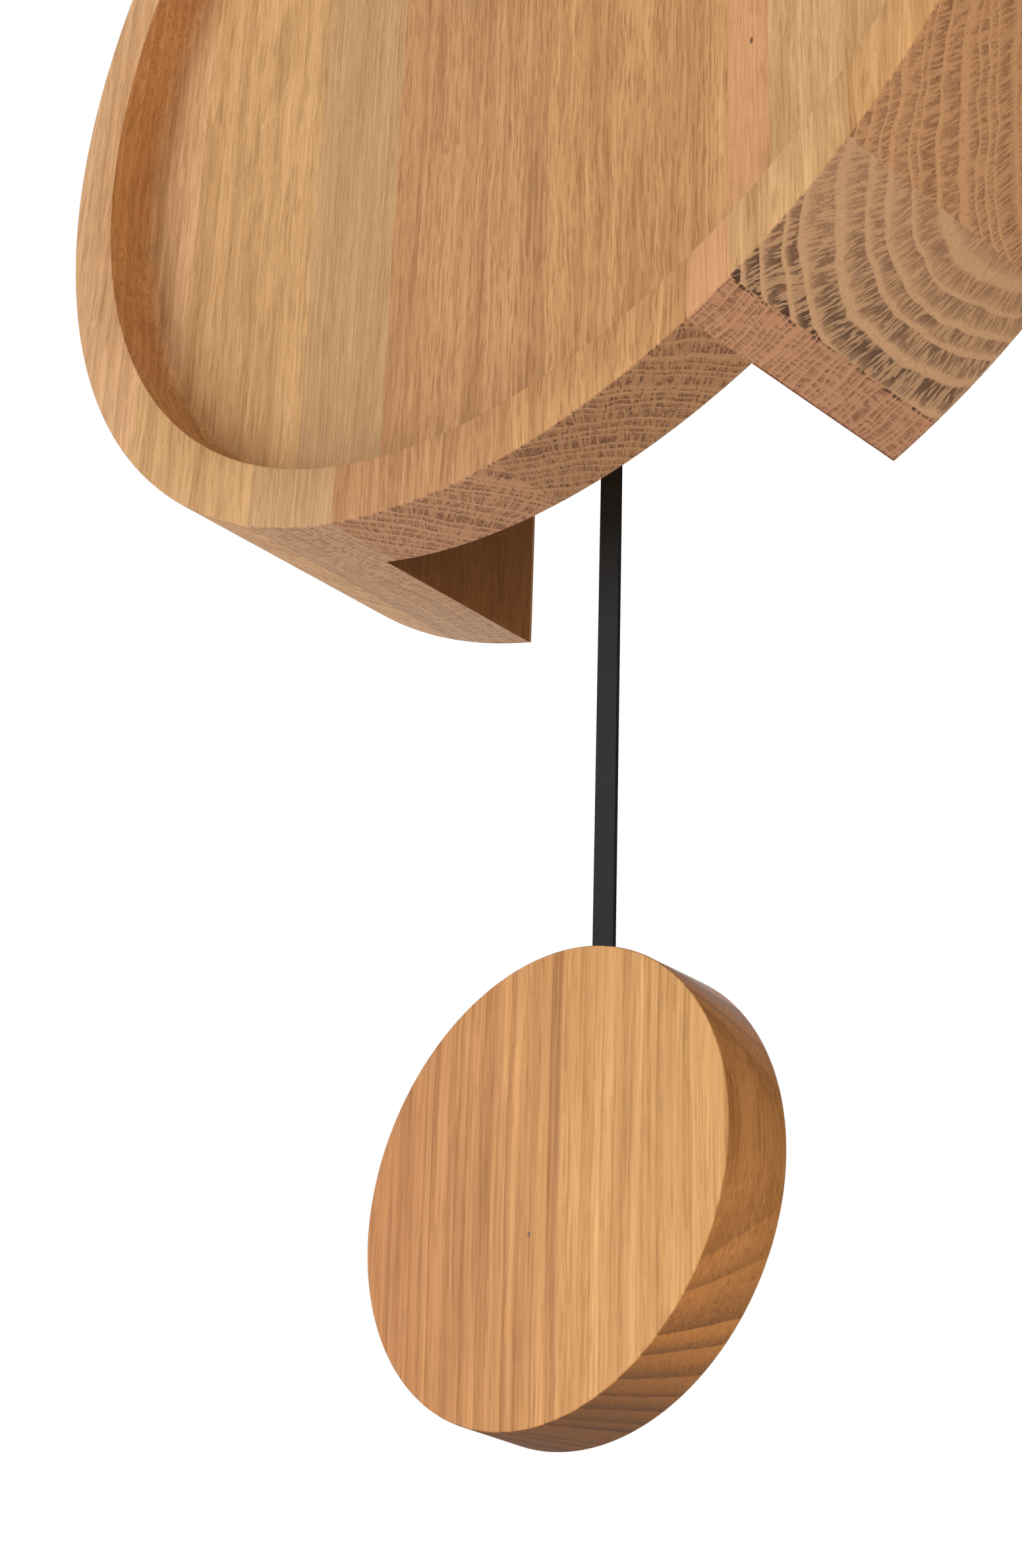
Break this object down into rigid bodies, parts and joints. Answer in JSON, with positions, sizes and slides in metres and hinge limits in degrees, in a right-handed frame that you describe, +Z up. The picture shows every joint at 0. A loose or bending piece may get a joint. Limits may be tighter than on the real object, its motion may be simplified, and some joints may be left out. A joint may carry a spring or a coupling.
{
  "type": "pendulum wall clock",
  "caption": "Round oak wall clock with a sunk dial, slim black hands, a quartz movement in a rear channel and a flat black rod carrying a round oak bob.",
  "frame": {"origin": "the point on the case back that hangs on the wall screw, in the wall plane, 110 mm above the dial centre", "axes": "+X right as seen from the front, +Y into the wall, +Z up"},
  "size_m": [0.3, 0.061, 0.4844],
  "materials": {
    "oak": "oiled oak, open grain",
    "black_metal": "matte black powder coat",
    "zinc_steel": "bright zinc plate",
    "black_plastic": "fine moulded texture",
    "white_plastic": "moulded acetal",
    "black_rubber": "soft black rubber",
    "turned_brass": "turned brass",
    "copper_winding": "enamelled copper wire",
    "circuit_board": "green solder mask",
    "battery_sleeve": "printed plastic sleeve, unmarked"
  },
  "bodies": {
    "clock": {"case_body": "oak", "hanger_plate": "zinc_steel", "hanger_screw_left": "zinc_steel", "hanger_screw_right": "zinc_steel", "movement_front": "black_plastic", "movement_rear": "black_plastic", "rubber_washer": "black_rubber", "brass_washer": "turned_brass", "centre_nut": "turned_brass", "circuit_board": "circuit_board", "pendulum_coil": "copper_winding", "stator": "zinc_steel", "stepper_coil": "copper_winding", "battery": "battery_sleeve", "contact_minus": "zinc_steel", "contact_plus": "zinc_steel", "pivot_pin": "zinc_steel"},
    "minute_work": {"minute_arbor": "turned_brass", "centre_wheel": "white_plastic", "minute_hand": "black_metal", "hand_cap": "black_metal"},
    "hour_work": {"hour_wheel": "white_plastic", "hour_hand": "black_metal"},
    "motion_wheel": {"minute_wheel": "white_plastic"},
    "knob": {"setting_knob": "white_plastic"},
    "third": {"third_wheel": "white_plastic"},
    "seconds": {"seconds_wheel": "white_plastic"},
    "fifth": {"fifth_wheel": "white_plastic"},
    "motor_rotor": {"rotor": "white_plastic"},
    "pendulum": {"hanger_arm": "white_plastic", "arm_magnet": "zinc_steel", "pendulum_rod": "black_metal", "bob": "oak", "bob_screw_upper": "zinc_steel", "bob_screw_lower": "zinc_steel"}
  },
  "joints": [
    {"name": "pendulum_swing", "type": "hinge", "parent": "clock", "child": "pendulum", "pos_m": [0, 0, -0.15], "axis": [0, 1, 0], "range_deg": [-8, 8]},
    {"name": "minute_turn", "type": "hinge", "parent": "clock", "child": "minute_work", "pos_m": [0, 0, -0.11], "axis": [0, 1, 0], "continuous": true},
    {"name": "hour_turn", "type": "hinge", "parent": "clock", "child": "hour_work", "pos_m": [0, 0, -0.11], "axis": [0, 1, 0], "continuous": true},
    {"name": "motion_wheel_turn", "type": "hinge", "parent": "clock", "child": "motion_wheel", "pos_m": [-0.0111, 0, -0.11], "axis": [0, 1, 0], "continuous": true},
    {"name": "knob_turn", "type": "hinge", "parent": "clock", "child": "knob", "pos_m": [-0.0111, 0, -0.1211], "axis": [0, 1, 0], "continuous": true},
    {"name": "third_turn", "type": "hinge", "parent": "clock", "child": "third", "pos_m": [0.00785, 0, -0.11785], "axis": [0, 1, 0], "continuous": true},
    {"name": "seconds_turn", "type": "hinge", "parent": "clock", "child": "seconds", "pos_m": [0.01665, 0, -0.11785], "axis": [0, 1, 0], "continuous": true},
    {"name": "fifth_turn", "type": "hinge", "parent": "clock", "child": "fifth", "pos_m": [0.01665, 0, -0.12535], "axis": [0, 1, 0], "continuous": true},
    {"name": "rotor_turn", "type": "hinge", "parent": "clock", "child": "motor_rotor", "pos_m": [0.0111, 0, -0.12535], "axis": [0, 1, 0], "continuous": true}
  ],
  "couplings": [
    {"joint": "hour_turn", "follows": "minute_turn", "ratio": 0.083333},
    {"joint": "motion_wheel_turn", "follows": "minute_turn", "ratio": -0.33333},
    {"joint": "knob_turn", "follows": "minute_turn", "ratio": 1},
    {"joint": "third_turn", "follows": "minute_turn", "ratio": -8},
    {"joint": "seconds_turn", "follows": "minute_turn", "ratio": 60},
    {"joint": "fifth_turn", "follows": "rotor_turn", "ratio": -0.16667}
  ]
}
